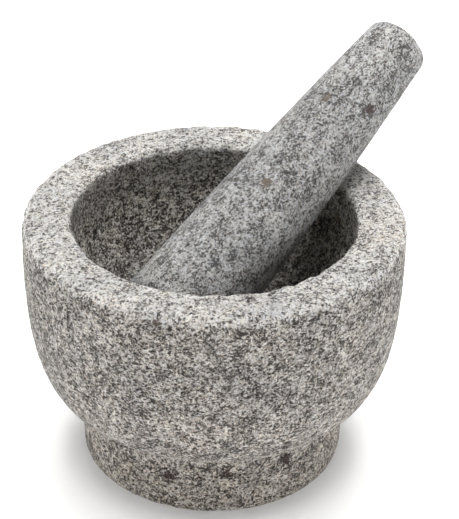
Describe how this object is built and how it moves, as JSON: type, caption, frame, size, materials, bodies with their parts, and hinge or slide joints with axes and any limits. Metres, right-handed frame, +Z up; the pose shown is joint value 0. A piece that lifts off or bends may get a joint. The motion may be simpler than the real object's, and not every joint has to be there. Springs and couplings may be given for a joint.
{
  "type": "mortar and pestle",
  "caption": "Thick-walled turned granite bowl on a short pedestal foot, with a tapered granite pestle leaning in it against the rim.",
  "frame": {"origin": "centre of the flat underside of the mortar's foot", "axes": "+Z up along the mortar's turned axis; +X the way the pestle leans, with its grip end out over the rim; +Y completes a right-handed frame"},
  "size_m": [0.2452, 0.203, 0.2142],
  "materials": {
    "mortar_granite": "matte",
    "pestle_granite": "matte"
  },
  "bodies": {
    "mortar": {"mortar": "mortar_granite"},
    "pestle": {"pestle": "pestle_granite"}
  },
  "joints": [
    {"name": "pestle_lift", "type": "slide", "parent": "mortar", "child": "pestle", "axis": [0, 0, 1], "range_m": [0, 0.12]}
  ]
}
